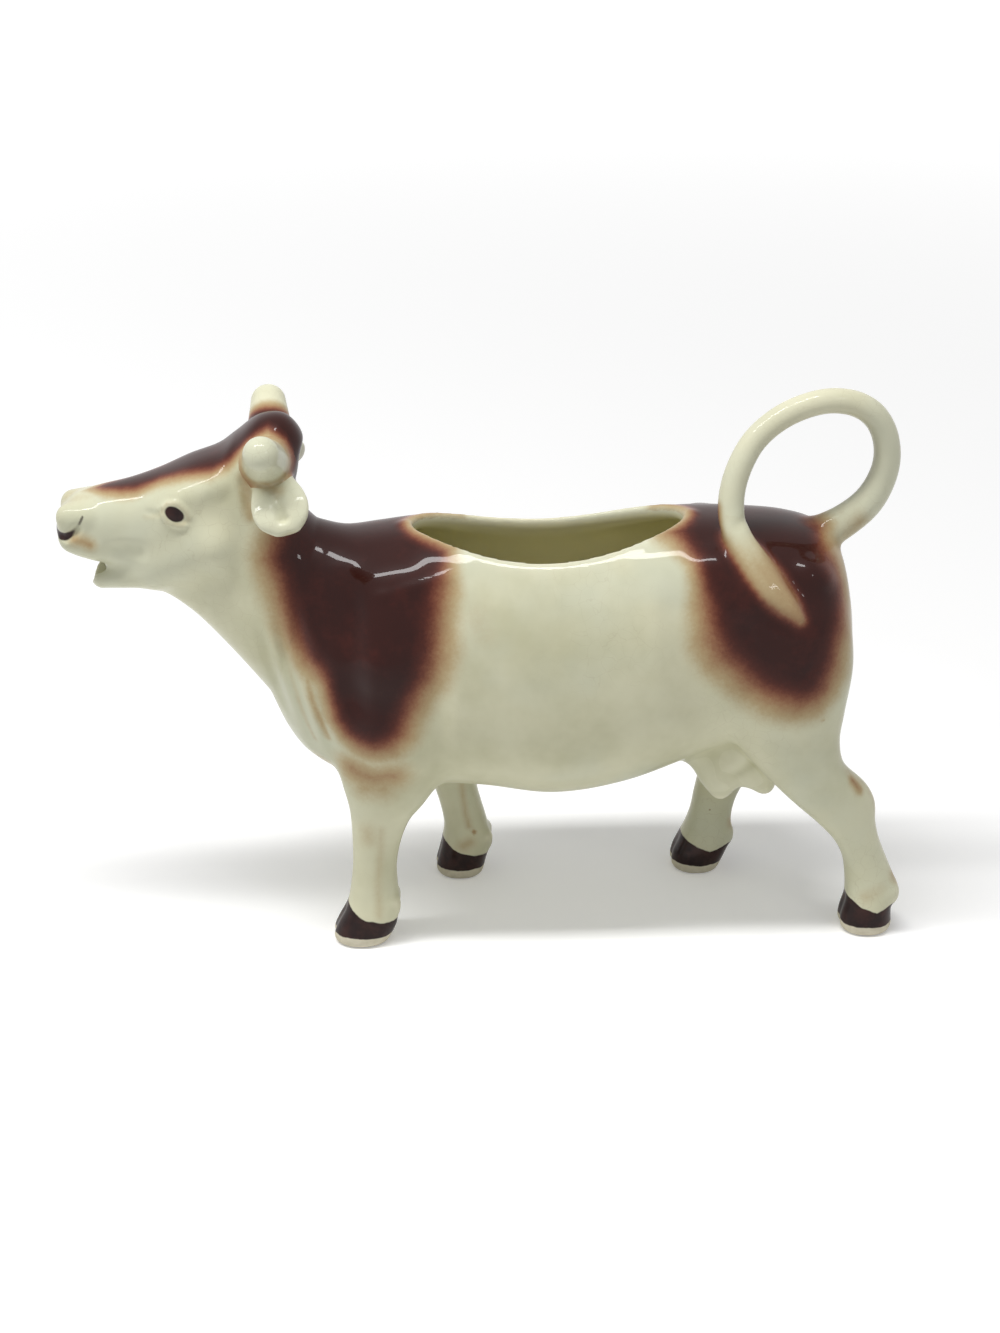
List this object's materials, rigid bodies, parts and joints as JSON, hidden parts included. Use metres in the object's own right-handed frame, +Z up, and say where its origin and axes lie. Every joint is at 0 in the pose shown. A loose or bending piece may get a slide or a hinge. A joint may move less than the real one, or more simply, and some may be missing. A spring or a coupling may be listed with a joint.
{
  "type": "cow creamer",
  "caption": "Glazed pottery cream jug shaped as a standing cow: filled through an oval hole in the back, held by the looped tail, pours from the open mouth.",
  "frame": {"origin": "on the table, under the middle of the bounding box", "axes": "+Z up; the cow faces -X, and its left side faces -Y"},
  "size_m": [0.1935, 0.05, 0.1299],
  "materials": {
    "patched_glaze": "gloss, with soft dark brown patches",
    "cream_glaze": "gloss",
    "leg_glaze": "gloss, with dark brown hooves and bare soles"
  },
  "bodies": {
    "root": {"torso": "patched_glaze", "head": "patched_glaze", "ear_left": "cream_glaze", "ear_right": "cream_glaze", "horn_left": "cream_glaze", "horn_right": "cream_glaze", "foreleg_left": "leg_glaze", "foreleg_right": "leg_glaze", "hindleg_left": "leg_glaze", "hindleg_right": "leg_glaze", "udder": "cream_glaze", "tail_handle": "cream_glaze"}
  },
  "joints": []
}
